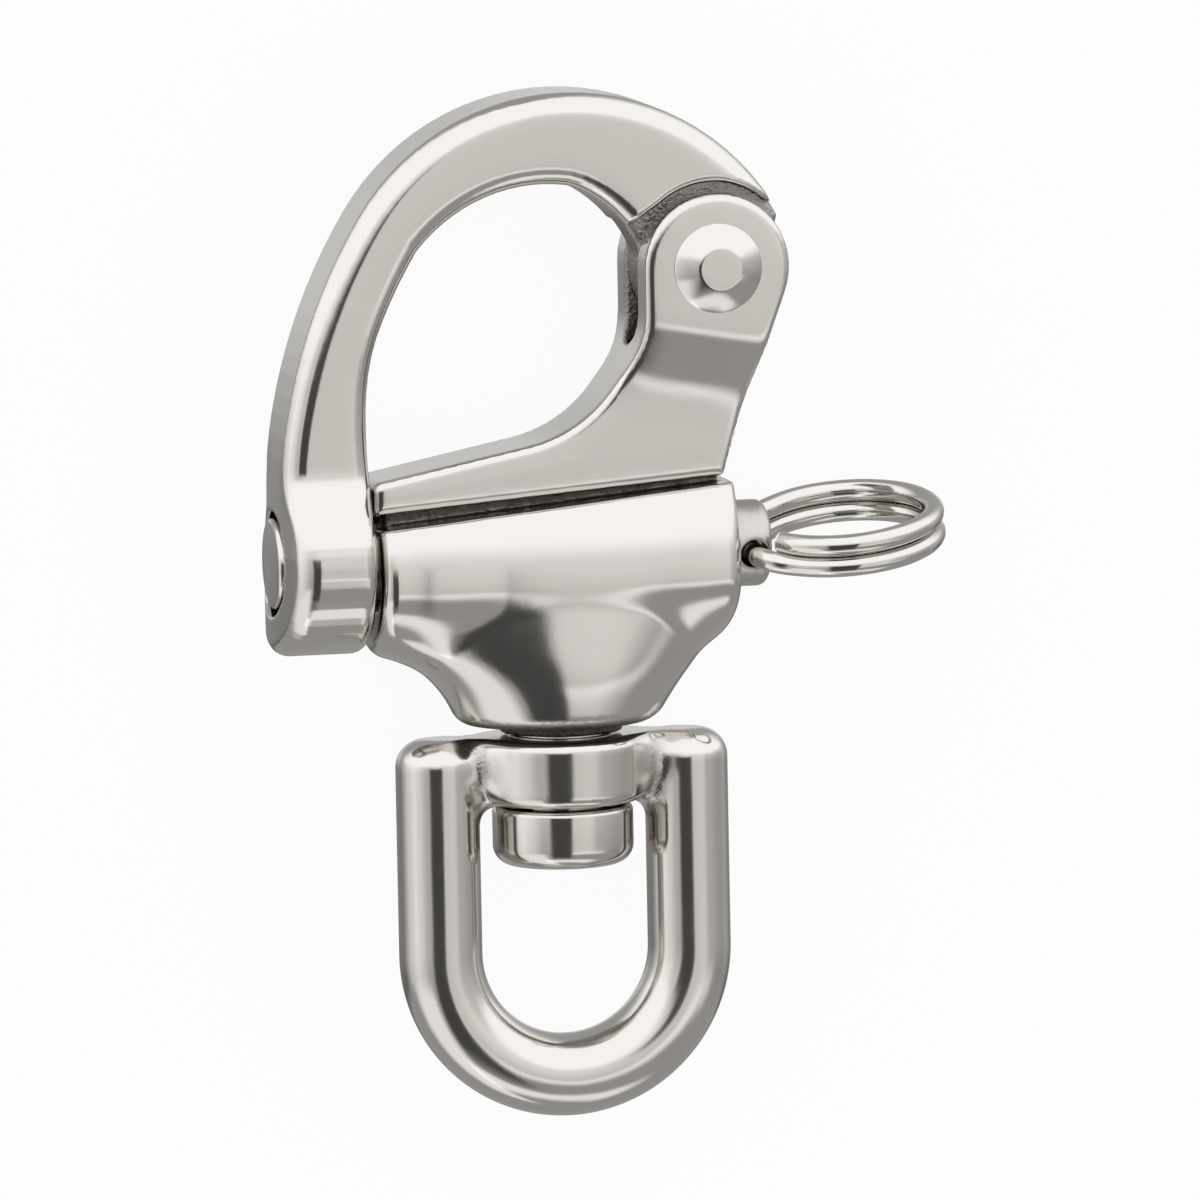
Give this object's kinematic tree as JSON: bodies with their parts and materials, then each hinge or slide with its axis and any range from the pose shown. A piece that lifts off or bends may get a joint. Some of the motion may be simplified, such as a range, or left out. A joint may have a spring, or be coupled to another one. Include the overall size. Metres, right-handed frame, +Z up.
{
  "type": "swivel snap shackle",
  "caption": "Swivel snap shackle: a hinged bail closes on a spring plunger worked by a split pull ring, and a round eye turns on a stud.",
  "frame": {"origin": "centre of the round bow of the swivel eye, in the middle plane of the shackle", "axes": "+Y from the eye to the bail, along the swivel axis; +X along the plunger towards the pull ring; +Z up, square to the flat of the shackle, which lies on its back"},
  "size_m": [0.0597, 0.089, 0.0177],
  "materials": {
    "cast_steel": "bright cast stainless steel, tumble polished",
    "polished_steel": "polished stainless steel",
    "rough_steel": "as cast, matt grey",
    "spring_steel": "drawn wire"
  },
  "bodies": {
    "casting": {"casting": "cast_steel", "bail_rivet": "polished_steel", "swivel_stud": "polished_steel"},
    "bail": {"bail": "cast_steel"},
    "eye": {"swivel_eye": "polished_steel"},
    "spring": {"plunger_spring": "spring_steel"},
    "plunger": {"plunger_pin": "polished_steel", "plunger_knob": "rough_steel"},
    "ring": {"split_ring": "polished_steel"}
  },
  "joints": [
    {"name": "eye_swivel", "type": "hinge", "parent": "casting", "child": "eye", "pos_m": [0, 0, 0], "axis": [0, 1, 0], "continuous": true},
    {"name": "bail_swing", "type": "hinge", "parent": "casting", "child": "bail", "pos_m": [0.0133, 0.0591, 0], "axis": [0, 0, -1], "range_deg": [0, 88]},
    {"name": "plunger_turn", "type": "hinge", "parent": "casting", "child": "spring", "pos_m": [0, 0.0346, 0], "axis": [1, 0, 0], "continuous": true},
    {"name": "plunger_slide", "type": "slide", "parent": "spring", "child": "plunger", "axis": [1, 0, 0], "range_m": [0, 0.0086], "stiffness_N_per_m": 1000, "springref_m": -0.006, "deforming": ["plunger_spring"]},
    {"name": "ring_swing", "type": "hinge", "parent": "plunger", "child": "ring", "pos_m": [0.01665, 0.0346, 0], "axis": [0, -0.1736, 0.9848], "range_deg": [-76, 64]}
  ]
}
